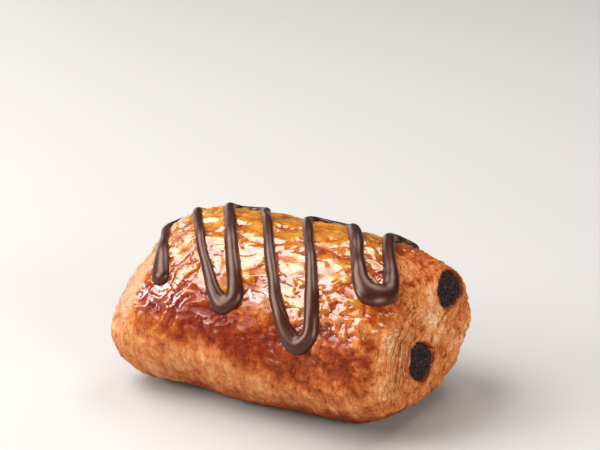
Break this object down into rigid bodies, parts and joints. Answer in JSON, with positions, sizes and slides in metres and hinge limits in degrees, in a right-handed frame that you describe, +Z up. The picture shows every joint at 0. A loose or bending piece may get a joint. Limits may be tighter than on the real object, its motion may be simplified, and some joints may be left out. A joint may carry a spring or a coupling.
{
  "type": "pain au chocolat",
  "caption": "Plump rolled loaf of flaky dough with rounded ends, a piped chocolate zigzag over its crest and two chocolate batons that show at both ends.",
  "frame": {"origin": "bottom centre of the bounding box, on the plane the pastry rests on", "axes": "+X along the roll towards the end shown in the picture, +Y to the back, +Z up"},
  "size_m": [0.1002, 0.0714, 0.0543],
  "materials": {
    "crust": "baked egg-washed dough, glossy golden brown above and matt tan at the sides and ends",
    "baton_chocolate_lower": "dark baked chocolate with a dull crumbly end",
    "baton_chocolate_upper": "dark baked chocolate with a dull crumbly end"
  },
  "bodies": {
    "root": {"pastry": "crust", "chocolate_baton_lower": "baton_chocolate_lower", "chocolate_baton_upper": "baton_chocolate_upper"}
  },
  "joints": []
}
